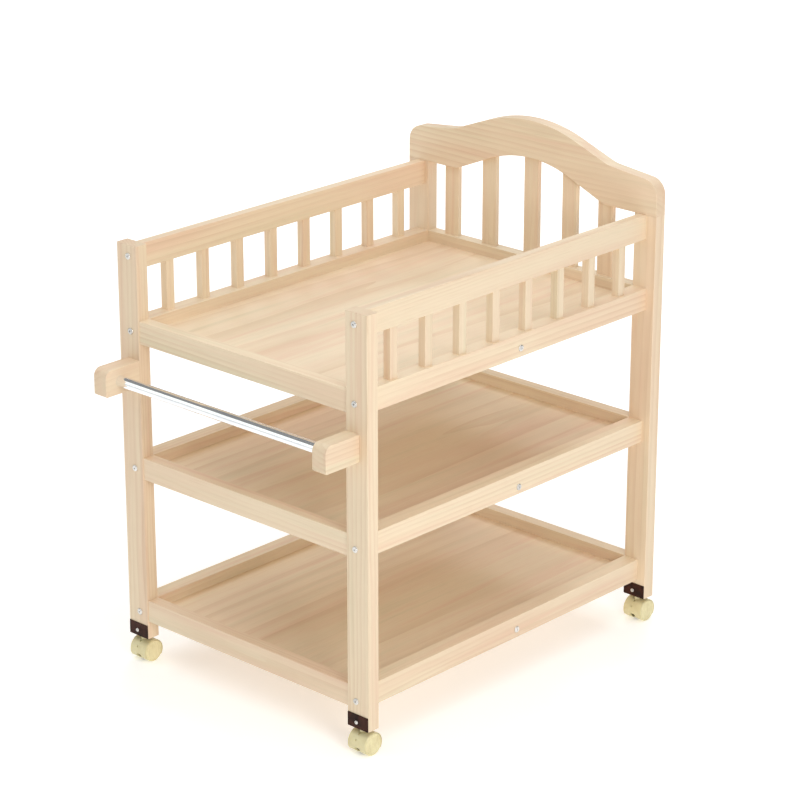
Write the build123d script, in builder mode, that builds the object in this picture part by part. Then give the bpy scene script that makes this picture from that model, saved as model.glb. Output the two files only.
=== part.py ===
from build123d import *
import os
from math import atan, cos, sin

os.makedirs("parts", exist_ok=True)

# A pine changing table: four posts, a fenced tray with an arched headboard, two shelves,
# a towel bar on two arms at the front, and four swivelling twin-wheel casters.
# Millimetres. The origin is on the floor under the middle of the table's outline,
# +X is the right side seen from the towel bar, +Y is the headboard end, +Z is up.

# ------------------------------------------------------------------ driving dimensions
WIDTH = 664.0            # over the outer faces of the posts
DEPTH = 860.0            # front posts' front faces to rear posts' back faces
POST_TOP = 881.0         # height of the post tops above the floor
POST_FOOT = 56.0         # the posts end this far above the floor, on the casters
POST_W = 54.5            # post section along X
POST_D = 28.2            # post section along Y
POST_EDGE = 1.3          # rounding of the posts' long edges

RAIL_H = 46.0            # height of every shelf rail
RAIL_T = 34.5            # thickness of the long shelf rails
SHORT_RAIL_T = 26.0      # thickness of the front and rear shelf rails
RAIL_EDGE = 1.0          # rounding of the rails' long edges
GUARD_H = 50.0           # guard rail height, flush with the post tops
GUARD_T = 20.0
GUARD_INSET = 24.5       # guard rail's outer face, in from the post's outer face
PANEL_T = 12.0
PANEL_DROP = 24.0        # panel surface below the top of its rails
GROOVE = 6.0             # depth of the panel grooves in the rails

SHELF_TOPS = {"tray": 729.7, "middle": 446.6, "bottom": 139.6}     # tops of the rails
POST_BOLT_Z = {"tray": 706.0, "middle": 420.5, "bottom": 110.5}    # bolts into the long rails
GUARD_BOLT_Z = 858.0
SCREW_DROP = {"tray": 28.0, "middle": 31.0, "bottom": 28.0}        # below the rails' tops
SCREW_Y_FROM_FRONT = 448.0

GUARD_SLATS = 8
GUARD_SLAT_X, GUARD_SLAT_Y = 17.0, 20.0
GUARD_SLAT_FIRST = 98.0  # first slat's middle behind the front face of the posts
GUARD_SLAT_PITCH = 94.6

BOARD_SHOULDER_Z = 70.2  # where the board's sloping shoulder meets its side, above the posts
BOARD_BEND = (207.0, 84.0)    # where the shoulder turns up into the crown
BOARD_CORNER_R, BOARD_BEND_R = 34.0, 70.0
BOARD_CROWN_Z = 139.5
BOARD_CROWN_R = 331.0
BOARD_CROWN_SLOPE = 0.375
ARCH_CROWN_Z = 60.0      # underside of the board at its middle, above the posts
ARCH_CROWN_R = 275.0
ARCH_SLOPE = 0.42
ARCH_FOOT_R = 35.0
HEAD_SLAT_X = (-218.0, -114.0, 0.0, 102.0, 196.0)
HEAD_SLAT_W, HEAD_SLAT_T = 38.0, 10.0

ARM_REACH = 88.0         # towel arms in front of the posts
ARM_H = 54.0
ARM_BOTTOM = 596.0
ARM_ROUND = 16.0         # rounding of the arm's upper front corner
BAR_R = 11.0
BAR_AHEAD = 51.5         # bar's axis in front of the posts
BAR_Z = 622.7
BAR_SOCKET = 12.0        # depth of the bar's sockets in the arms

BOLT_R = 3.0
BOLT_HEAD_R, BOLT_HEAD_H = 6.7, 2.6
BOLT_GRIP = 32.0         # length of a bolt in the rail it pulls up
ARM_GRIP = 28.0          # length of a bolt in the towel arm
NUT_R, NUT_LENGTH = 5.0, 18.0
DOWEL_R, DOWEL_LENGTH = 4.0, 36.0
DOWEL_DROPS = (10.0, 36.0)    # short rails' dowels, below the rail's top
TENON, TENON_TRIM = 10.0, 6.0    # guard slats' tenon length, and how much slimmer it is
HEAD_TENON = 12.0
PLATE_SCREW_X = -3.0     # caster screws, off the post's middle

PLATE_T = 1.5            # caster plate's sheet thickness
PLATE_W, PLATE_TOP = 52.0, 84.5
FOOT_PLATE_W = 36.0
SCREW_R, SCREW_LENGTH, SCREW_HEAD_R = 1.8, 9.0, 4.0
PLATE_SCREW_Z = 68.0
PIN_STEM_R, PIN_STEM_LENGTH = 4.0, 26.0
PIN_COLLAR_R, PIN_SHANK_R = 6.5, 3.0
WHEEL_R = 22.5
WHEEL_INNER_X, WHEEL_FACE_X = 5.3, 22.8
TRAIL = 4.0              # wheel axle behind the swivel axis
AXLE_R, AXLE_HALF = 2.5, 19.2
HUB_R, HUB_CAVITY_R = 6.0, 20.0
RUNNING = 0.05           # radial clearance of the pins and axles in their bores
HOOD_R, HOOD_INNER_R = 24.3, 23.2
HOOD_HALF_W = 21.6
HOOD_EDGE_Z = 9.5        # lower edge of the hood above the floor
HOOD_HOLES = ((-1.7, 42.0), (-2.3, 32.0))     # from the post's middle, and above the floor
HOOD_HOLE_R, HOOD_HOLE_DEPTH = 1.7, 16.6
NOTCH_X, NOTCH_W, NOTCH_H = 1.5, 13.0, 7.5    # notch in the hood's lower front edge
WEB_HALF = 4.5           # half the thickness of the web between the wheels
AXLE_BOSS_R = 8.0
BOSS_R, BOSS_TOP = 7.0, 52.2

# ------------------------------------------------------------------ derived places
HALF_W = WIDTH / 2
FRONT = (ARM_REACH - DEPTH - BOLT_HEAD_H) / 2      # front faces of the front posts
BACK = FRONT + DEPTH                               # back faces of the rear posts
INNER_FRONT, INNER_BACK = FRONT + POST_D, BACK - POST_D
INNER_LENGTH = INNER_BACK - INNER_FRONT
INNER_X = HALF_W - POST_W                          # inner faces of the posts
POST_X = HALF_W - POST_W / 2
POST_Y = {"front": FRONT + POST_D / 2, "rear": BACK - POST_D / 2}
BOLT_X = HALF_W - 32.0
GUARD_X = HALF_W - GUARD_INSET - GUARD_T / 2
SHORT_RAIL_Y = {"front": INNER_FRONT - SHORT_RAIL_T / 2, "rear": INNER_BACK + SHORT_RAIL_T / 2}
HEAD_SLAT_Y = INNER_BACK + 14.2
SCREW_Y = FRONT + SCREW_Y_FROM_FRONT
ARM_X = INNER_X + RAIL_T / 2
ARM_DOWEL_Z = ARM_BOTTOM + 10.0
ARM_NUT_Y = FRONT - ARM_GRIP + NUT_R
RAIL_NUT_YS = (INNER_FRONT + BOLT_GRIP - NUT_R, INNER_BACK - BOLT_GRIP + NUT_R)
BAR_Y = FRONT - BAR_AHEAD
GUARD_SLAT_YS = [FRONT + GUARD_SLAT_FIRST + i * GUARD_SLAT_PITCH for i in range(GUARD_SLATS)]
SIDES = {"left": -1, "right": 1}


def save(piece, name):
    """Label a finished piece and write it out."""
    piece.part.label = name
    export_step(piece.part, f"parts/{name}.step")


def shelf_dowel_zs():
    """Heights of the dowels that join the short rails to the posts."""
    return [top - drop for top in SHELF_TOPS.values() for drop in DOWEL_DROPS]


# ------------------------------------------------------------------ posts
def make_post(end, side_name):
    """An upright with its bolt, dowel and screw holes, let in at the foot for the caster."""
    side, y = SIDES[side_name], POST_Y[end]
    bolt_places = [(side * BOLT_X, z) for z in (GUARD_BOLT_Z, *POST_BOLT_Z.values())]
    if end == "front":
        bolt_places.append((side * ARM_X, BAR_Z))
    with BuildPart() as post:
        with BuildSketch(Plane.XY.offset(POST_FOOT)):
            with Locations((side * POST_X, y)):
                Rectangle(POST_W, POST_D)
        extrude(amount=POST_TOP - POST_FOOT)
        fillet(post.edges().filter_by(Axis.Z), POST_EDGE)
        # bolt holes right through, front to back
        with BuildSketch(Plane.XZ.offset(-(y + POST_D / 2))):
            with Locations(*bolt_places):
                Circle(BOLT_R)
        extrude(amount=POST_D, mode=Mode.SUBTRACT)
        # dowel holes for the short rails, in the inner face
        with BuildSketch(Plane.YZ.offset(side * INNER_X)):
            with Locations(*[(SHORT_RAIL_Y[end], z) for z in shelf_dowel_zs()]):
                Circle(DOWEL_R)
        extrude(amount=side * DOWEL_LENGTH / 2, mode=Mode.SUBTRACT)
        # recess and stem hole for the caster
        with BuildSketch(Plane.XY.offset(POST_FOOT)):
            with Locations((side * POST_X, y - PLATE_T / 2)):
                Rectangle(FOOT_PLATE_W, POST_D - PLATE_T)
        extrude(amount=PLATE_T, mode=Mode.SUBTRACT)
        with BuildSketch(Plane.XY.offset(POST_FOOT)):
            with Locations((side * POST_X, y)):
                Circle(PIN_STEM_R)
        extrude(amount=PLATE_T + PIN_STEM_LENGTH, mode=Mode.SUBTRACT)
        with BuildSketch(Plane.XZ.offset(-(y - POST_D / 2))):
            with Locations((side * POST_X + PLATE_SCREW_X, PLATE_SCREW_Z)):
                Circle(SCREW_R)
        extrude(amount=-SCREW_LENGTH, mode=Mode.SUBTRACT)
        if end == "front":
            # dowel hole that keeps the towel arm from turning
            with BuildSketch(Plane.XZ.offset(-FRONT)):
                with Locations((side * ARM_X, ARM_DOWEL_Z)):
                    Circle(DOWEL_R)
            extrude(amount=-DOWEL_LENGTH / 2, mode=Mode.SUBTRACT)
        else:
            # dowel hole for the headboard, in the top
            with BuildSketch(Plane.XY.offset(POST_TOP)):
                with Locations((side * POST_X, y)):
                    Circle(DOWEL_R)
            extrude(amount=-DOWEL_LENGTH / 2, mode=Mode.SUBTRACT)
    save(post, f"post_{end}_{side_name}")


for end in POST_Y:
    for side_name in SIDES:
        make_post(end, side_name)


# ------------------------------------------------------------------ shelves
def make_long_rail(shelf, side_name):
    """A long shelf rail: panel groove inside, bolt and nut holes at both ends."""
    side, top = SIDES[side_name], SHELF_TOPS[shelf]
    bolt_z = POST_BOLT_Z[shelf]
    bottom = top - RAIL_H
    with BuildPart() as rail:
        with BuildSketch(Plane.XZ.offset(-INNER_BACK)):
            with Locations((side * (INNER_X + RAIL_T / 2), top - RAIL_H / 2)):
                Rectangle(RAIL_T, RAIL_H)
        extrude(amount=INNER_LENGTH)
        fillet(rail.edges().filter_by(Axis.Y), RAIL_EDGE)
        with BuildSketch(Plane.XZ.offset(-INNER_BACK)):
            with Locations((side * (INNER_X + GROOVE / 2), top - PANEL_DROP - PANEL_T / 2)):
                Rectangle(GROOVE, PANEL_T)
        extrude(amount=INNER_LENGTH, mode=Mode.SUBTRACT)
        for end_y, inward in ((INNER_BACK, BOLT_GRIP), (INNER_FRONT, -BOLT_GRIP)):
            with BuildSketch(Plane.XZ.offset(-end_y)):
                with Locations((side * BOLT_X, bolt_z)):
                    Circle(BOLT_R)
            extrude(amount=inward, mode=Mode.SUBTRACT)
        with BuildSketch(Plane.XY.offset(bottom)):
            with Locations(*[(side * BOLT_X, y) for y in RAIL_NUT_YS]):
                Circle(NUT_R)
        extrude(amount=bolt_z + NUT_LENGTH / 2 - bottom, mode=Mode.SUBTRACT)
        with BuildSketch(Plane.YZ.offset(side * INNER_X)):
            with Locations((SCREW_Y, top - SCREW_DROP[shelf])):
                Circle(BOLT_R)
        extrude(amount=side * RAIL_T, mode=Mode.SUBTRACT)
        if shelf == "tray":
            with BuildSketch(Plane.XY.offset(top)):
                with Locations(*[(side * GUARD_X, y) for y in GUARD_SLAT_YS]):
                    Rectangle(GUARD_SLAT_X - TENON_TRIM, GUARD_SLAT_Y - TENON_TRIM)
            extrude(amount=-TENON, mode=Mode.SUBTRACT)
    save(rail, f"{shelf}_rail_{side_name}")


def make_short_rail(shelf, end):
    """A front or rear shelf rail: panel groove inside, dowel holes in both ends."""
    top, y = SHELF_TOPS[shelf], SHORT_RAIL_Y[end]
    groove_y = INNER_FRONT - GROOVE / 2 if end == "front" else INNER_BACK + GROOVE / 2
    with BuildPart() as rail:
        with BuildSketch(Plane.YZ.offset(-INNER_X)):
            with Locations((y, top - RAIL_H / 2)):
                Rectangle(SHORT_RAIL_T, RAIL_H)
        extrude(amount=2 * INNER_X)
        fillet(rail.edges().filter_by(Axis.X), RAIL_EDGE)
        with BuildSketch(Plane.YZ.offset(-INNER_X)):
            with Locations((groove_y, top - PANEL_DROP - PANEL_T / 2)):
                Rectangle(GROOVE, PANEL_T)
        extrude(amount=2 * INNER_X, mode=Mode.SUBTRACT)
        for side in SIDES.values():
            with BuildSketch(Plane.YZ.offset(side * INNER_X)):
                with Locations(*[(y, top - drop) for drop in DOWEL_DROPS]):
                    Circle(DOWEL_R)
            extrude(amount=-side * DOWEL_LENGTH / 2, mode=Mode.SUBTRACT)
        if shelf == "tray" and end == "rear":
            with BuildSketch(Plane.XY.offset(top)):
                with Locations(*[(x, HEAD_SLAT_Y) for x in HEAD_SLAT_X]):
                    Rectangle(HEAD_SLAT_W - TENON_TRIM, HEAD_SLAT_T - TENON_TRIM / 2)
            extrude(amount=-HEAD_TENON, mode=Mode.SUBTRACT)
    save(rail, f"{shelf}_rail_{end}")


def make_panel(shelf):
    """A shelf board held in the rails' grooves, notched round the posts at its corners."""
    top = SHELF_TOPS[shelf] - PANEL_DROP
    middle_y = (INNER_FRONT + INNER_BACK) / 2
    screw_z = SHELF_TOPS[shelf] - SCREW_DROP[shelf]
    with BuildPart() as panel:
        with BuildSketch(Plane.XY.offset(top)):
            with Locations((0, middle_y)):
                Rectangle(2 * (INNER_X + GROOVE), INNER_LENGTH)
                Rectangle(2 * INNER_X, INNER_LENGTH + 2 * GROOVE)
        extrude(amount=-PANEL_T)
        for side in SIDES.values():
            with BuildSketch(Plane.YZ.offset(side * (INNER_X + GROOVE))):
                with Locations((SCREW_Y, screw_z)):
                    Circle(BOLT_R)
            extrude(amount=-side * BOLT_GRIP, mode=Mode.SUBTRACT)
    save(panel, f"{shelf}_panel")


for shelf in SHELF_TOPS:
    for side_name in SIDES:
        make_long_rail(shelf, side_name)
    for end in SHORT_RAIL_Y:
        make_short_rail(shelf, end)
    make_panel(shelf)


# ------------------------------------------------------------------ side guards
def make_guard_rail(side_name):
    """The fence's top rail, between the posts and flush with their tops."""
    side = SIDES[side_name]
    bottom = POST_TOP - GUARD_H
    with BuildPart() as rail:
        with BuildSketch(Plane.XZ.offset(-INNER_BACK)):
            with Locations((side * GUARD_X, POST_TOP - GUARD_H / 2)):
                Rectangle(GUARD_T, GUARD_H)
        extrude(amount=INNER_LENGTH)
        fillet(rail.edges().filter_by(Axis.Y), RAIL_EDGE)
        for end_y, inward in ((INNER_BACK, BOLT_GRIP), (INNER_FRONT, -BOLT_GRIP)):
            with BuildSketch(Plane.XZ.offset(-end_y)):
                with Locations((side * BOLT_X, GUARD_BOLT_Z)):
                    Circle(BOLT_R)
            extrude(amount=inward, mode=Mode.SUBTRACT)
        with BuildSketch(Plane.XY.offset(bottom)):
            with Locations(*[(side * BOLT_X, y) for y in RAIL_NUT_YS]):
                Circle(NUT_R)
        extrude(amount=GUARD_BOLT_Z + NUT_LENGTH / 2 - bottom, mode=Mode.SUBTRACT)
        with BuildSketch(Plane.XY.offset(bottom)):
            with Locations(*[(side * GUARD_X, y) for y in GUARD_SLAT_YS]):
                Rectangle(GUARD_SLAT_X - TENON_TRIM, GUARD_SLAT_Y - TENON_TRIM)
        extrude(amount=TENON, mode=Mode.SUBTRACT)
    save(rail, f"guard_rail_{side_name}")


def make_guard_slats(side_name):
    """The fence's upright slats, with a tenon at each end."""
    side = SIDES[side_name]
    low, high = SHELF_TOPS["tray"], POST_TOP - GUARD_H
    places = [(side * GUARD_X, y) for y in GUARD_SLAT_YS]
    with BuildPart() as slats:
        with BuildSketch(Plane.XY.offset(low)):
            with Locations(*places):
                Rectangle(GUARD_SLAT_X, GUARD_SLAT_Y)
        extrude(amount=high - low)
        fillet(slats.edges().filter_by(Axis.Z), RAIL_EDGE)
        with BuildSketch(Plane.XY.offset(low - TENON)):
            with Locations(*places):
                Rectangle(GUARD_SLAT_X - TENON_TRIM, GUARD_SLAT_Y - TENON_TRIM)
        extrude(amount=high - low + 2 * TENON)
    save(slats, f"guard_slats_{side_name}")


for side_name in SIDES:
    make_guard_rail(side_name)
    make_guard_slats(side_name)


# ------------------------------------------------------------------ headboard
def crown_tangent(crown_z, radius, slope):
    """Where a crown's arc reaches the given slope, and the arc's half-way point, above the posts."""
    turn = atan(slope)
    end_point = (radius * sin(turn), crown_z - radius * (1 - cos(turn)))
    half_point = (radius * sin(turn / 2), crown_z - radius * (1 - cos(turn / 2)))
    return end_point, half_point


def arch_height(x):
    """Height of the board's underside above the posts at x."""
    (tangent_x, tangent_z), _ = crown_tangent(ARCH_CROWN_Z, ARCH_CROWN_R, ARCH_SLOPE)
    if abs(x) < tangent_x:
        return ARCH_CROWN_Z - ARCH_CROWN_R + (ARCH_CROWN_R**2 - x**2) ** 0.5
    return max(0.0, tangent_z - ARCH_SLOPE * (abs(x) - tangent_x))


top_end, top_half = crown_tangent(BOARD_CROWN_Z, BOARD_CROWN_R, BOARD_CROWN_SLOPE)
arch_end, arch_half = crown_tangent(ARCH_CROWN_Z, ARCH_CROWN_R, ARCH_SLOPE)
arch_foot = (arch_end[0] + arch_end[1] / ARCH_SLOPE, 0.0)
head_tenons = [(x, POST_TOP + arch_height(x)) for x in HEAD_SLAT_X]

with BuildPart() as headboard_board:
    with BuildSketch(Plane((0, BACK, POST_TOP), x_dir=(1, 0, 0), z_dir=(0, -1, 0))):
        with BuildLine():
            FilletPolyline(arch_end, arch_foot, (HALF_W, 0), radius=ARCH_FOOT_R)
            FilletPolyline((HALF_W, 0), (HALF_W, BOARD_SHOULDER_Z), BOARD_BEND, top_end,
                           radius=(BOARD_CORNER_R, BOARD_BEND_R))
            ThreePointArc(top_end, top_half, (0, BOARD_CROWN_Z))
            Line((0, BOARD_CROWN_Z), (0, ARCH_CROWN_Z))
            ThreePointArc((0, ARCH_CROWN_Z), arch_half, arch_end)
        make_face()
        mirror(about=Plane.YZ)
    extrude(amount=POST_D)
    fillet(headboard_board.faces().filter_by(Axis.Y).edges(), POST_EDGE)
    # mortises for the slats, and dowel holes over the posts
    for x, z in head_tenons:
        with BuildSketch(Plane.XY.offset(z - HEAD_TENON)):
            with Locations((x, HEAD_SLAT_Y)):
                Rectangle(HEAD_SLAT_W - TENON_TRIM, HEAD_SLAT_T - TENON_TRIM / 2)
        extrude(amount=2 * HEAD_TENON, mode=Mode.SUBTRACT)
    with BuildSketch(Plane.XY.offset(POST_TOP)):
        with Locations(*[(side * POST_X, POST_Y["rear"]) for side in SIDES.values()]):
            Circle(DOWEL_R)
    extrude(amount=DOWEL_LENGTH / 2, mode=Mode.SUBTRACT)
save(headboard_board, "headboard_board")


def make_headboard_slat(number, x, top):
    """A flat slat from the tray's rear rail up to the board's arched underside."""
    low = SHELF_TOPS["tray"]
    with BuildPart() as slat:
        with BuildSketch(Plane.XY.offset(low)):
            with Locations((x, HEAD_SLAT_Y)):
                Rectangle(HEAD_SLAT_W, HEAD_SLAT_T)
        extrude(amount=POST_TOP + ARCH_CROWN_Z - low)
        fillet(slat.edges().filter_by(Axis.Z), RAIL_EDGE)
        add(headboard_board.part, mode=Mode.SUBTRACT)
        with BuildSketch(Plane.XY.offset(low - HEAD_TENON)):
            with Locations((x, HEAD_SLAT_Y)):
                Rectangle(HEAD_SLAT_W - TENON_TRIM, HEAD_SLAT_T - TENON_TRIM / 2)
        extrude(amount=top + HEAD_TENON - (low - HEAD_TENON))
    save(slat, f"headboard_slat_{number}")


for number, (x, top) in enumerate(head_tenons, start=1):
    make_headboard_slat(number, x, top)


# ------------------------------------------------------------------ towel bar
def make_towel_arm(side_name):
    """A block bolted to the post from behind, with a socket for the bar."""
    side = SIDES[side_name]
    with BuildPart() as arm:
        with BuildSketch(Plane.YZ.offset(side * INNER_X)):
            with Locations((FRONT - ARM_REACH / 2, ARM_BOTTOM + ARM_H / 2)):
                Rectangle(ARM_REACH, ARM_H)
        extrude(amount=side * RAIL_T)
        front_edges = arm.edges().filter_by(Axis.X).group_by(Axis.Y)[0]
        fillet(front_edges.sort_by(Axis.Z)[-1], ARM_ROUND)
        front_edges = arm.edges().filter_by(Axis.X).group_by(Axis.Y)[0]
        fillet(front_edges.sort_by(Axis.Z)[0], 4)
        fillet(arm.faces().filter_by(Axis.X).edges(), RAIL_EDGE)
        with BuildSketch(Plane.YZ.offset(side * INNER_X)):
            with Locations((BAR_Y, BAR_Z)):
                Circle(BAR_R)
        extrude(amount=side * BAR_SOCKET, mode=Mode.SUBTRACT)
        with BuildSketch(Plane.XZ.offset(-FRONT)):
            with Locations((side * ARM_X, BAR_Z)):
                Circle(BOLT_R)
        extrude(amount=ARM_GRIP, mode=Mode.SUBTRACT)
        with BuildSketch(Plane.XZ.offset(-FRONT)):
            with Locations((side * ARM_X, ARM_DOWEL_Z)):
                Circle(DOWEL_R)
        extrude(amount=DOWEL_LENGTH / 2, mode=Mode.SUBTRACT)
        with BuildSketch(Plane.XY.offset(ARM_BOTTOM)):
            with Locations((side * ARM_X, ARM_NUT_Y)):
                Circle(NUT_R)
        extrude(amount=BAR_Z + NUT_LENGTH / 2 - ARM_BOTTOM, mode=Mode.SUBTRACT)
    save(arm, f"towel_arm_{side_name}")


for side_name in SIDES:
    make_towel_arm(side_name)

with BuildPart() as towel_bar:
    with BuildSketch(Plane.YZ.offset(-INNER_X - BAR_SOCKET)):
        with Locations((BAR_Y, BAR_Z)):
            Circle(BAR_R)
            Circle(BAR_R - 1.2, mode=Mode.SUBTRACT)
    extrude(amount=2 * (INNER_X + BAR_SOCKET))
save(towel_bar, "towel_bar")


# ------------------------------------------------------------------ fasteners
def make_bolt(length):
    """One domed socket bolt, head up, its seat at z = 0."""
    with BuildPart() as bolt:
        with BuildSketch():
            Circle(BOLT_HEAD_R)
        extrude(amount=BOLT_HEAD_H)
        fillet(bolt.edges().group_by(Axis.Z)[-1], BOLT_HEAD_H - 0.4)
        with BuildSketch(Plane.XY.offset(BOLT_HEAD_H)):
            RegularPolygon(2.2, 6)
        extrude(amount=-1.6, mode=Mode.SUBTRACT)
        with BuildSketch():
            Circle(BOLT_R)
        extrude(amount=-length)
    return bolt.part


def make_group(name, piece, places):
    """Identical pieces at all their places, as one group of separate solids."""
    with BuildPart() as group:
        with Locations(*places):
            add(piece)
    save(group, name)


FACING = {"front": (90, 0, 0), "rear": (-90, 0, 0), "left": (0, -90, 0), "right": (0, 90, 0)}
END_FACE = {"front": FRONT, "rear": BACK}

post_bolt_places = [
    Location((side * BOLT_X, END_FACE[end], z), FACING[end])
    for end in END_FACE
    for side in SIDES.values()
    for z in (GUARD_BOLT_Z, *POST_BOLT_Z.values())
]
make_group("post_bolts", make_bolt(POST_D + BOLT_GRIP), post_bolt_places)

arm_bolt_places = [
    Location((side * ARM_X, INNER_FRONT, BAR_Z), FACING["rear"]) for side in SIDES.values()
]
make_group("arm_bolts", make_bolt(POST_D + ARM_GRIP), arm_bolt_places)

shelf_screw_places = [
    Location((side * (INNER_X + RAIL_T), SCREW_Y, top - SCREW_DROP[shelf]), FACING[side_name])
    for shelf, top in SHELF_TOPS.items()
    for side_name, side in SIDES.items()
]
make_group("shelf_screws", make_bolt(RAIL_T - GROOVE + BOLT_GRIP), shelf_screw_places)

# barrel nuts across the bolt ends, each with the bolt's bore in it
with BuildPart() as barrel_nut:
    with BuildSketch(Plane.XY.offset(-NUT_LENGTH / 2)):
        Circle(NUT_R)
    extrude(amount=NUT_LENGTH)
    with BuildSketch(Plane.XZ.offset(-NUT_R)):
        Circle(BOLT_R)
    extrude(amount=2 * NUT_R, mode=Mode.SUBTRACT)

nut_places = [
    Location((side * BOLT_X, y, z))
    for side in SIDES.values()
    for y in RAIL_NUT_YS
    for z in (GUARD_BOLT_Z, *POST_BOLT_Z.values())
]
nut_places += [Location((side * ARM_X, ARM_NUT_Y, BAR_Z)) for side in SIDES.values()]
make_group("barrel_nuts", barrel_nut.part, nut_places)

with BuildPart() as dowel:
    with BuildSketch(Plane.XY.offset(-DOWEL_LENGTH / 2)):
        Circle(DOWEL_R)
    extrude(amount=DOWEL_LENGTH)

rail_dowel_places = [
    Location((side * INNER_X, SHORT_RAIL_Y[end], z), (0, 90, 0))
    for side in SIDES.values()
    for end in SHORT_RAIL_Y
    for z in shelf_dowel_zs()
]
rail_dowel_places += [
    Location((side * ARM_X, FRONT, ARM_DOWEL_Z), (90, 0, 0)) for side in SIDES.values()
]
make_group("rail_dowels", dowel.part, rail_dowel_places)
head_dowel_places = [(side * POST_X, POST_Y["rear"], POST_TOP) for side in SIDES.values()]
make_group("headboard_dowels", dowel.part, head_dowel_places)

# round-head screws that hold the caster plates
with BuildPart() as plate_screw:
    with BuildSketch():
        Circle(SCREW_HEAD_R)
    extrude(amount=2.2)
    fillet(plate_screw.edges().group_by(Axis.Z)[-1], 1.8)
    with BuildSketch(Plane.XY.offset(2.2)):
        Rectangle(3.6, 0.8)
        Rectangle(0.8, 3.6)
    extrude(amount=-1.2, mode=Mode.SUBTRACT)
    with BuildSketch():
        Circle(SCREW_R)
    extrude(amount=-(PLATE_T + SCREW_LENGTH))

plate_screw_places = [
    Location((side * POST_X + PLATE_SCREW_X, y - POST_D / 2 - PLATE_T, PLATE_SCREW_Z), FACING["front"])
    for side in SIDES.values()
    for y in POST_Y.values()
]
make_group("plate_screws", plate_screw.part, plate_screw_places)


# ------------------------------------------------------------------ casters
# a pin with its stem in the post and its shank in the hood, riveted through the plate
with BuildPart() as pin:
    with BuildSketch(Plane.XY.offset(BOSS_TOP + 0.3)):
        Circle(PIN_COLLAR_R)
    extrude(amount=POST_FOOT - BOSS_TOP - 0.3)
    with BuildSketch(Plane.XY.offset(POST_FOOT)):
        Circle(PIN_STEM_R)
    extrude(amount=PLATE_T + PIN_STEM_LENGTH)
    with BuildSketch(Plane.XY.offset(BOSS_TOP + 0.3)):
        Circle(PIN_SHANK_R)
    extrude(amount=-(BOSS_TOP + 0.3 - WHEEL_R - 8.5))
pin_places = [(side * POST_X, y) for side in SIDES.values() for y in POST_Y.values()]
make_group("caster_pins", pin.part, pin_places)


def make_caster_plate(name, x, y):
    """Bent steel plate: one leg on the post's front face, the other let into its foot."""
    face_y = y - POST_D / 2
    with BuildPart() as plate:
        with BuildSketch(Plane.XZ.offset(-face_y)):
            with Locations((x, (POST_FOOT + PLATE_TOP) / 2)):
                Rectangle(PLATE_W, PLATE_TOP - POST_FOOT)
        extrude(amount=PLATE_T)
        with BuildSketch(Plane.XY.offset(POST_FOOT)):
            with Locations((x, y - PLATE_T / 2)):
                Rectangle(FOOT_PLATE_W, POST_D - PLATE_T)
        extrude(amount=PLATE_T)
        with BuildSketch(Plane.XY.offset(POST_FOOT)):
            with Locations((x, y)):
                Circle(PIN_STEM_R)
        extrude(amount=PLATE_T, mode=Mode.SUBTRACT)
        with BuildSketch(Plane.XZ.offset(-face_y)):
            with Locations((x + PLATE_SCREW_X, PLATE_SCREW_Z)):
                Circle(SCREW_R)
        extrude(amount=PLATE_T, mode=Mode.SUBTRACT)
    save(plate, f"{name}_plate")


def make_hood(name, x, y):
    """Hood over both wheels, with the web between them, the axle's boss and the pin's socket."""
    axle_y = y + TRAIL
    with BuildPart() as hood:
        # shroud: a curved wall over the treads, open below
        with BuildSketch(Plane.YZ.offset(x - HOOD_HALF_W)):
            with Locations((axle_y, WHEEL_R)):
                Circle(HOOD_R)
                Circle(HOOD_INNER_R, mode=Mode.SUBTRACT)
            with Locations((axle_y, HOOD_EDGE_Z - HOOD_R)):
                Rectangle(3 * HOOD_R, 2 * HOOD_R, mode=Mode.SUBTRACT)
        extrude(amount=2 * HOOD_HALF_W)
        # web between the wheels, above the treads' gap, and the boss round the axle
        with BuildSketch(Plane.YZ.offset(x - WEB_HALF)):
            with Locations((axle_y, WHEEL_R)):
                Circle(HOOD_INNER_R + 0.2)
            with Locations((axle_y, WHEEL_R - 6 - HOOD_R)):
                Rectangle(3 * HOOD_R, 2 * HOOD_R, mode=Mode.SUBTRACT)
            with Locations((axle_y, WHEEL_R)):
                Circle(AXLE_BOSS_R)
        extrude(amount=2 * WEB_HALF)
        # boss round the pin: wide above the shroud, as narrow as the web below it
        for radius, low in ((BOSS_R, WHEEL_R + HOOD_R - 0.9), (WEB_HALF - 0.1, WHEEL_R + HOOD_R - 4)):
            with BuildSketch(Plane.XY.offset(BOSS_TOP)):
                with Locations((x, y)):
                    Circle(radius)
            extrude(amount=low - BOSS_TOP)
        with BuildSketch(Plane.XY.offset(BOSS_TOP)):
            with Locations((x, y)):
                Circle(PIN_SHANK_R + RUNNING)
        extrude(amount=-(BOSS_TOP - WHEEL_R - 8), mode=Mode.SUBTRACT)
        with BuildSketch(Plane.YZ.offset(x - WEB_HALF)):
            with Locations((axle_y, WHEEL_R)):
                Circle(AXLE_R)
        extrude(amount=2 * WEB_HALF, mode=Mode.SUBTRACT)
        # finger notch in the front edge, and two small drain holes
        front_y = axle_y - HOOD_R
        with BuildSketch(Plane.XZ.offset(-front_y + 1)):
            with Locations((x + NOTCH_X, HOOD_EDGE_Z)):
                RectangleRounded(NOTCH_W, 2 * NOTCH_H, 3)
        extrude(amount=-HOOD_R / 2, mode=Mode.SUBTRACT)
        with BuildSketch(Plane.XZ.offset(-front_y + 1)):
            with Locations(*[(x + hole_x, hole_z) for hole_x, hole_z in HOOD_HOLES]):
                Circle(HOOD_HOLE_R)
        extrude(amount=-HOOD_HOLE_DEPTH, mode=Mode.SUBTRACT)
    save(hood, f"{name}_hood")


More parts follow.
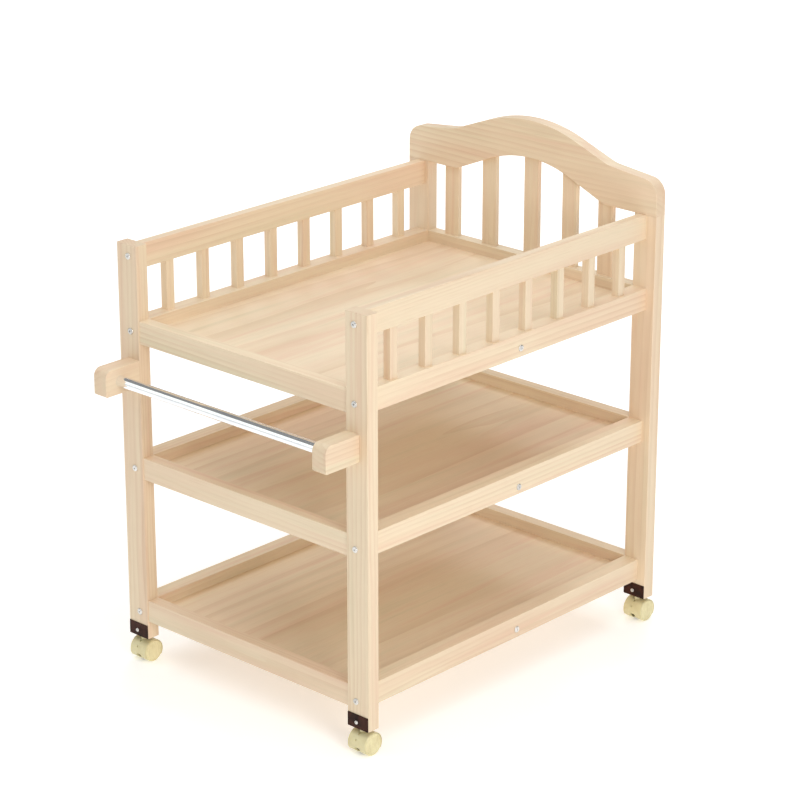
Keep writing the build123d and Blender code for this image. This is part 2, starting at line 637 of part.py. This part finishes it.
def make_axle(name, x, y):
    """Steel axle fixed in the hood's web, with a wheel on each end."""
    with BuildPart() as axle:
        with BuildSketch(Plane.YZ.offset(x - AXLE_HALF)):
            with Locations((y + TRAIL, WHEEL_R)):
                Circle(AXLE_R)
        extrude(amount=2 * AXLE_HALF)
        chamfer(axle.edges().filter_by(GeomType.CIRCLE), 0.4)
    save(axle, f"{name}_axle")


def make_wheel(name, x, y, side_name):
    """One wheel: tread, closed dished face outside, open inside, blind hub on the axle."""
    out = SIDES[side_name]
    bore, bore_end = AXLE_R + RUNNING, AXLE_HALF + 0.4
    web_x = bore_end - 1.0
    face_dome_r = 285.0
    dome_x = WHEEL_FACE_X - 0.2
    with BuildPart() as wheel:
        with BuildSketch(Plane((x, y + TRAIL, WHEEL_R), x_dir=(out, 0, 0), z_dir=(0, 0, 1))):
            with BuildLine():
                dome = CenterArc((dome_x - face_dome_r, 0), face_dome_r, 0, 3.7)
                Polyline(
                    dome @ 1,
                    (WHEEL_FACE_X, WHEEL_R - 2.8), (WHEEL_FACE_X, WHEEL_R - 1.6),
                    (WHEEL_FACE_X - 1.4, WHEEL_R), (WHEEL_INNER_X + 0.8, WHEEL_R),
                    (WHEEL_INNER_X, WHEEL_R - 0.8), (WHEEL_INNER_X, HUB_CAVITY_R),
                    (web_x, HUB_CAVITY_R), (web_x, HUB_R), (WHEEL_INNER_X, HUB_R),
                    (WHEEL_INNER_X, bore), (bore_end, bore), (bore_end, 0), dome @ 0,
                )
            make_face()
        revolve(axis=Axis((x, y + TRAIL, WHEEL_R), (1, 0, 0)))
    save(wheel, f"{name}_wheel_{side_name}")


for end, y in POST_Y.items():
    for post_side, side in SIDES.items():
        caster = f"caster_{end}_{post_side}"
        make_caster_plate(caster, side * POST_X, y)
        make_hood(caster, side * POST_X, y)
        make_axle(caster, side * POST_X, y)
        for wheel_side in SIDES:
            make_wheel(caster, side * POST_X, y, wheel_side)
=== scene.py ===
import math
import random

import bpy
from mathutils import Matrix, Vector


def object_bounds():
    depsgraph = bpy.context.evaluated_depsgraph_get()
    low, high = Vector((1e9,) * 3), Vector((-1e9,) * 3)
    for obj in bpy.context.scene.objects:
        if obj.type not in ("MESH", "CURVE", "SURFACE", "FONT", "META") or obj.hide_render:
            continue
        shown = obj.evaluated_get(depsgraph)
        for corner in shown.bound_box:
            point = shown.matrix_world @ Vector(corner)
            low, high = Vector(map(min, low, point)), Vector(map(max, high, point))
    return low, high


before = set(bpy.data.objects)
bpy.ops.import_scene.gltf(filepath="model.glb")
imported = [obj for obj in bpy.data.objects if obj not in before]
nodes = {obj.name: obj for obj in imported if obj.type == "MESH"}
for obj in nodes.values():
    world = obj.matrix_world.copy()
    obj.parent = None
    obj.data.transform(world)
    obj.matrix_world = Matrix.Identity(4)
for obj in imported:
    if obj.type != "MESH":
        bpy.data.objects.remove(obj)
cad_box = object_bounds()

# ---------------------------------------------------------------- the view and the light
VIEW_AZIMUTH, VIEW_ELEVATION = math.radians(42.82), math.radians(20.27)
VIEW_DISTANCE = 5.801
VIEW_AIM = Vector((-0.0202, 0.0792, 0.5074))
SENSOR, LENS = 36.0, 129.7
FLOOR_REACH = 30.0
FLOOR_PALE, FLOOR_PALER = (0.90, 0.90, 0.90, 1), (0.93, 0.93, 0.93, 1)
FLOOR_GLOW = 0.32
SKY, SKY_STRENGTH = (1.0, 0.99, 0.975, 1), 0.27
CORNER_ANGLE = math.radians(32)     # edges sharper than this stay sharp

# name, place, size in metres, watts, colour, and the point that it faces
SOFTBOXES = (
    ("key", (2.9, -1.3, 1.5), 1.0, 34, (1.0, 0.97, 0.93), VIEW_AIM),
    ("front", (-2.6, -3.1, 1.9), 2.6, 21, (0.96, 1.0, 0.95), VIEW_AIM),
    ("overhead", (0.4, -0.2, 4.2), 5.0, 112, (1, 1, 1), VIEW_AIM),
    ("backdrop", (-3.6, 4.6, 5.0), 4.0, 330, (1, 1, 1), (-4.6, 6.5, 0)),
)

# ---------------------------------------------------------------- colours, linear
PINE_PALE = (0.870, 0.725, 0.530, 1)
PINE_WARM = (0.810, 0.560, 0.405, 1)
PINE_GREENISH = (0.735, 0.655, 0.455, 1)
PINE_LATEWOOD = (0.610, 0.395, 0.225, 1)
BEECH = (0.60, 0.42, 0.26, 1)
IVORY = (0.800, 0.730, 0.440, 1)
IVORY_AGED = (0.700, 0.610, 0.330, 1)
ENAMEL = (0.050, 0.010, 0.003, 1)
ENAMEL_EDGE = (0.016, 0.004, 0.002, 1)
STEEL = (0.80, 0.79, 0.77, 1)
STEEL_DULL = (0.58, 0.57, 0.55, 1)
CHROME = (0.93, 0.95, 0.97, 1)
CHROME_HAZE = (0.84, 0.87, 0.91, 1)


class Nodes:
    """A material's node tree, with short calls for the nodes used here."""

    def __init__(self, name):
        self.material = bpy.data.materials.new(name)
        self.material.use_nodes = True
        self.tree = self.material.node_tree
        self.tree.nodes.clear()
        self.shader = self.tree.nodes.new("ShaderNodeBsdfPrincipled")
        output = self.tree.nodes.new("ShaderNodeOutputMaterial")
        self.tree.links.new(self.shader.outputs[0], output.inputs["Surface"])

    def put(self, value, socket):
        """Links an output to a socket, or sets the socket's own value."""
        if isinstance(value, bpy.types.NodeSocket):
            self.tree.links.new(value, socket)
        else:
            socket.default_value = value

    def coordinates(self):
        return self.tree.nodes.new("ShaderNodeTexCoord").outputs["Object"]

    def mapping(self, vector, scale, offset=(0, 0, 0)):
        node = self.tree.nodes.new("ShaderNodeMapping")
        self.put(vector, node.inputs["Vector"])
        node.inputs["Scale"].default_value = scale
        node.inputs["Location"].default_value = offset
        return node.outputs[0]

    def grain_space(self, along):
        """The object's coordinates, turned so that the third one runs along the grain."""
        split = self.tree.nodes.new("ShaderNodeSeparateXYZ")
        self.put(self.coordinates(), split.inputs[0])
        join = self.tree.nodes.new("ShaderNodeCombineXYZ")
        order = {"X": (1, 2, 0), "Y": (2, 0, 1), "Z": (0, 1, 2)}[along]
        for slot, source in enumerate(order):
            self.put(split.outputs[source], join.inputs[slot])
        return join.outputs[0]

    def noise(self, vector, scale, detail=3.0, roughness=0.5, distortion=0.0):
        node = self.tree.nodes.new("ShaderNodeTexNoise")
        self.put(vector, node.inputs["Vector"])
        node.inputs["Scale"].default_value = scale
        node.inputs["Detail"].default_value = detail
        node.inputs["Roughness"].default_value = roughness
        node.inputs["Distortion"].default_value = distortion
        return node.outputs["Fac"]

    def rings(self, vector, scale, distortion, detail_scale):
        node = self.tree.nodes.new("ShaderNodeTexWave")
        node.wave_type = "RINGS"
        node.rings_direction = "Z"
        node.wave_profile = "SAW"
        self.put(vector, node.inputs["Vector"])
        node.inputs["Scale"].default_value = scale
        node.inputs["Distortion"].default_value = distortion
        node.inputs["Detail"].default_value = 2.0
        node.inputs["Detail Scale"].default_value = detail_scale
        return node.outputs["Fac"]

    def ramp(self, factor, low, high, low_value=0.0, high_value=1.0):
        node = self.tree.nodes.new("ShaderNodeMapRange")
        node.interpolation_type = "SMOOTHSTEP"
        self.put(factor, node.inputs["Value"])
        node.inputs["From Min"].default_value = low
        node.inputs["From Max"].default_value = high
        node.inputs["To Min"].default_value = low_value
        node.inputs["To Max"].default_value = high_value
        return node.outputs[0]

    def maths(self, operation, a, b=0.0):
        node = self.tree.nodes.new("ShaderNodeMath")
        node.operation = operation
        self.put(a, node.inputs[0])
        self.put(b, node.inputs[1])
        return node.outputs[0]

    def mix(self, factor, a, b):
        node = self.tree.nodes.new("ShaderNodeMix")
        node.data_type = "RGBA"
        self.put(factor, node.inputs["Factor"])
        self.put(a, node.inputs["A"])
        self.put(b, node.inputs["B"])
        return node.outputs["Result"]

    def bump(self, height, strength, distance):
        node = self.tree.nodes.new("ShaderNodeBump")
        self.put(height, node.inputs["Height"])
        node.inputs["Strength"].default_value = strength
        node.inputs["Distance"].default_value = distance
        self.put(node.outputs[0], self.shader.inputs["Normal"])

    def face_along(self, along):
        """1 on end grain, 0 on the sides."""
        split = self.tree.nodes.new("ShaderNodeSeparateXYZ")
        self.put(self.tree.nodes.new("ShaderNodeTexCoord").outputs["Normal"], split.inputs[0])
        facing = self.maths("ABSOLUTE", split.outputs["XYZ".index(along)])
        return self.ramp(facing, 0.6, 0.95)


def tinted(colour, factor):
    """A colour made lighter or darker, never past white."""
    return (*[min(1.0, c * factor) for c in colour[:3]], 1)


def pine(name, along, draw, ring_scale=34.0, figure=1.0):
    """Lacquered pine: growth rings round a pith off to one side, streaks, fibres and end grain."""
    n = Nodes(name)
    tone = draw.uniform(0.97, 1.03)
    grain = n.grain_space(along)
    pith = (draw.uniform(0.05, 0.12), draw.uniform(-0.10, -0.04), draw.uniform(-2, 2))
    slow = n.mapping(grain, (1, 1, 0.10), pith)
    rings = n.rings(slow, ring_scale * draw.uniform(0.7, 1.4), 11.0, 0.30)
    patches = n.noise(n.mapping(grain, (22, 22, 1.6), (draw.uniform(0, 9), 0, 0)), 1.0, 2.0)
    late = n.maths("MULTIPLY", n.ramp(rings, 0.30, 1.0), n.ramp(patches, 0.35, 0.70, 0.04, 0.30 * figure))
    streak_space = n.mapping(grain, (30, 30, 1.5), [draw.uniform(0, 9) for _ in range(3)])
    streaks = n.noise(streak_space, 1.0, 4.0, 0.55, 0.5)
    broad_space = n.mapping(grain, (7, 7, 1.0), [draw.uniform(0, 9) for _ in range(3)])
    broad = n.noise(broad_space, 1.0, 2.0, 0.5, 0.8)
    fibre_space = n.mapping(grain, (900, 900, 18), (draw.uniform(0, 9), 0, 0))
    fibres = n.noise(fibre_space, 1.0, 2.0, 0.6)
    body = n.mix(n.ramp(streaks, 0.46, 0.74, 0.0, 0.62), tinted(PINE_PALE, tone), tinted(PINE_WARM, tone))
    body = n.mix(n.ramp(streaks, 0.28, 0.47, 0.50, 0.0), body, tinted(PINE_GREENISH, tone))
    body = n.mix(n.ramp(broad, 0.45, 0.70, 0.0, 0.35), body, tinted(PINE_WARM, tone))
    body = n.mix(late, body, tinted(PINE_LATEWOOD, tone))
    body = n.mix(n.ramp(fibres, 0.50, 0.75, 0.0, 0.18), body, tinted(PINE_LATEWOOD, tone))
    end_grain = n.maths("MULTIPLY", n.face_along(along), 0.18)
    n.put(n.mix(end_grain, body, PINE_LATEWOOD), n.shader.inputs["Base Color"])
    n.put(n.ramp(fibres, 0.3, 0.7, 0.42, 0.54), n.shader.inputs["Roughness"])
    n.shader.inputs["Specular IOR Level"].default_value = 0.30
    n.shader.inputs["Coat Weight"].default_value = 0.08
    n.shader.inputs["Coat Roughness"].default_value = 0.35
    n.bump(n.maths("ADD", n.maths("MULTIPLY", fibres, 0.6), n.maths("MULTIPLY", rings, 0.5)), 0.12, 0.0004)
    return n.material


def pine_board(name, along, draw):
    """The shelf panels: the same lacquered pine with wider rings and a little more figure."""
    return pine(name, along, draw, ring_scale=17.0, figure=1.15)


def dowel_wood(name, along):
    """Bare beech with short flecks along the dowel."""
    n = Nodes(name)
    grain = n.mapping(n.grain_space(along), (600, 600, 25))
    flecks = n.noise(grain, 1.0, 2.0)
    n.put(n.mix(n.ramp(flecks, 0.4, 0.7), BEECH, tinted(BEECH, 0.75)), n.shader.inputs["Base Color"])
    n.put(n.ramp(flecks, 0.3, 0.7, 0.6, 0.75), n.shader.inputs["Roughness"])
    n.bump(flecks, 0.1, 0.0002)
    return n.material


def metal(name, bright, dull, smooth, rough, grain_scale):
    """Plated metal with a faint haze and fine marks."""
    n = Nodes(name)
    space = n.coordinates()
    haze = n.noise(space, 18.0, 3.0)
    marks = n.noise(n.mapping(space, grain_scale), 1.0, 2.0)
    n.put(n.mix(n.ramp(haze, 0.35, 0.75), bright, dull), n.shader.inputs["Base Color"])
    n.put(n.ramp(marks, 0.3, 0.75, smooth, rough), n.shader.inputs["Roughness"])
    n.shader.inputs["Metallic"].default_value = 1.0
    n.bump(marks, 0.03, 0.00005)
    return n.material


def enamel(name):
    """Dark brown enamel, thinner and darker in cloudy patches, with a fine orange-peel."""
    n = Nodes(name)
    space = n.coordinates()
    clouds = n.noise(space, 60.0, 4.0, 0.6)
    peel = n.noise(space, 900.0, 1.0)
    n.put(n.mix(n.ramp(clouds, 0.35, 0.65), ENAMEL, ENAMEL_EDGE), n.shader.inputs["Base Color"])
    n.put(n.ramp(clouds, 0.3, 0.7, 0.42, 0.58), n.shader.inputs["Roughness"])
    n.shader.inputs["Specular IOR Level"].default_value = 0.18
    n.bump(peel, 0.06, 0.0001)
    return n.material


def moulded_plastic(name, colour, aged, smooth, rough):
    """Ivory plastic with flow clouds, a fine moulded texture and scuffed patches."""
    n = Nodes(name)
    space = n.coordinates()
    clouds = n.noise(space, 45.0, 3.0)
    scuffs = n.noise(n.mapping(space, (300, 300, 60)), 1.0, 3.0, 0.6)
    stipple = n.noise(space, 2500.0, 1.0)
    n.put(n.mix(n.ramp(clouds, 0.35, 0.75, 0.0, 0.7), colour, aged), n.shader.inputs["Base Color"])
    n.put(n.ramp(scuffs, 0.35, 0.75, smooth, rough), n.shader.inputs["Roughness"])
    n.shader.inputs["Subsurface Weight"].default_value = 0.06
    n.shader.inputs["Subsurface Radius"].default_value = (0.004, 0.003, 0.0015)
    n.bump(stipple, 0.05, 0.0001)
    return n.material


def soften(node):
    """Shades a CAD node's curved faces smooth and keeps its real corners sharp."""
    mesh = node.data
    mesh.shade_smooth()
    mesh.set_sharp_from_angle(angle=CORNER_ANGLE)


def give(node_name, material):
    mesh = nodes[node_name].data
    if not mesh.materials:
        mesh.materials.append(material)
    for slot_number in range(len(mesh.materials)):
        mesh.materials[slot_number] = material


# ---------------------------------------------------------------- materials on the CAD pieces
zinc = metal("zinc_plate", STEEL, STEEL_DULL, 0.22, 0.42, (700, 700, 700))
chrome = metal("chrome_plate", CHROME, CHROME_HAZE, 0.05, 0.16, (30, 900, 900))
brown = enamel("brown_enamel")
hood_ivory = moulded_plastic("hood_ivory", IVORY, IVORY_AGED, 0.30, 0.48)
wheel_ivory = moulded_plastic("wheel_ivory", tinted(IVORY, 1.05), IVORY_AGED, 0.24, 0.42)
dowel_along_x = dowel_wood("beech_x", "X")
dowel_along_z = dowel_wood("beech_z", "Z")
ZINC_PARTS = ("post_bolts", "arm_bolts", "shelf_screws", "barrel_nuts", "plate_screws", "caster_pins")


def grain_axis(name):
    """The way the timber's grain runs in a piece: along its length."""
    if name.startswith(("post_", "guard_slats", "headboard_slat")):
        return "Z"
    if name.startswith("towel_arm") or name.endswith(("_rail_left", "_rail_right", "_panel")):
        return "Y"
    return "X"


def finish_for(name):
    if name in ZINC_PARTS or name.endswith("_axle"):
        return zinc
    if name == "towel_bar":
        return chrome
    if name.endswith("_plate"):
        return brown
    if name.endswith("_hood"):
        return hood_ivory
    if "_wheel_" in name:
        return wheel_ivory
    if name == "rail_dowels":
        return dowel_along_x
    if name == "headboard_dowels":
        return dowel_along_z
    draw = random.Random(name)
    if name.endswith("_panel"):
        return pine_board(f"pine_{name}", grain_axis(name), draw)
    return pine(f"pine_{name}", grain_axis(name), draw)


for node_name in sorted(nodes):
    soften(nodes[node_name])
    give(node_name, finish_for(node_name))

# ---------------------------------------------------------------- floor, light and camera
floor_corners = [(x * FLOOR_REACH, y * FLOOR_REACH, 0) for x, y in ((-1, -1), (1, -1), (1, 1), (-1, 1))]
floor_mesh = bpy.data.meshes.new("floor")
floor_mesh.from_pydata(floor_corners, [], [(0, 1, 2, 3)])
floor = bpy.data.objects.new("floor", floor_mesh)
floor.location.z = cad_box[0][2]
bpy.context.scene.collection.objects.link(floor)
floor_nodes = Nodes("studio_floor")
floor_cloud = floor_nodes.noise(floor_nodes.coordinates(), 2.0)
floor_colour = floor_nodes.mix(floor_cloud, FLOOR_PALE, FLOOR_PALER)
floor_nodes.put(floor_colour, floor_nodes.shader.inputs["Base Color"])
floor_nodes.shader.inputs["Roughness"].default_value = 0.9
floor_nodes.shader.inputs["Emission Color"].default_value = (1, 1, 1, 1)
floor_nodes.shader.inputs["Emission Strength"].default_value = FLOOR_GLOW
floor_mesh.materials.append(floor_nodes.material)

world = bpy.data.worlds.new("studio")
bpy.context.scene.world = world
world.use_nodes = True
background = world.node_tree.nodes["Background"]
background.inputs["Color"].default_value = SKY
background.inputs["Strength"].default_value = SKY_STRENGTH
bpy.context.scene.view_settings.view_transform = "Standard"


def softbox(name, place, size, watts, colour, aim):
    light = bpy.data.lights.new(name, "AREA")
    light.shape = "RECTANGLE"
    light.size = light.size_y = size
    light.energy = watts
    light.color = colour
    lamp = bpy.data.objects.new(name, light)
    lamp.location = place
    lamp.rotation_euler = (Vector(aim) - Vector(place)).to_track_quat("-Z", "Y").to_euler()
    bpy.context.scene.collection.objects.link(lamp)


for softbox_values in SOFTBOXES:
    softbox(*softbox_values)

camera_data = bpy.data.cameras.new("camera")
camera_data.sensor_width = SENSOR
camera_data.lens = LENS
camera_data.clip_end = 100
camera = bpy.data.objects.new("camera", camera_data)
away = Vector((
    math.sin(VIEW_AZIMUTH) * math.cos(VIEW_ELEVATION),
    -math.cos(VIEW_AZIMUTH) * math.cos(VIEW_ELEVATION),
    math.sin(VIEW_ELEVATION),
))
camera.location = VIEW_AIM + VIEW_DISTANCE * away
camera.rotation_euler = (-away).to_track_quat("-Z", "Y").to_euler()
bpy.context.scene.collection.objects.link(camera)
bpy.context.scene.camera = camera
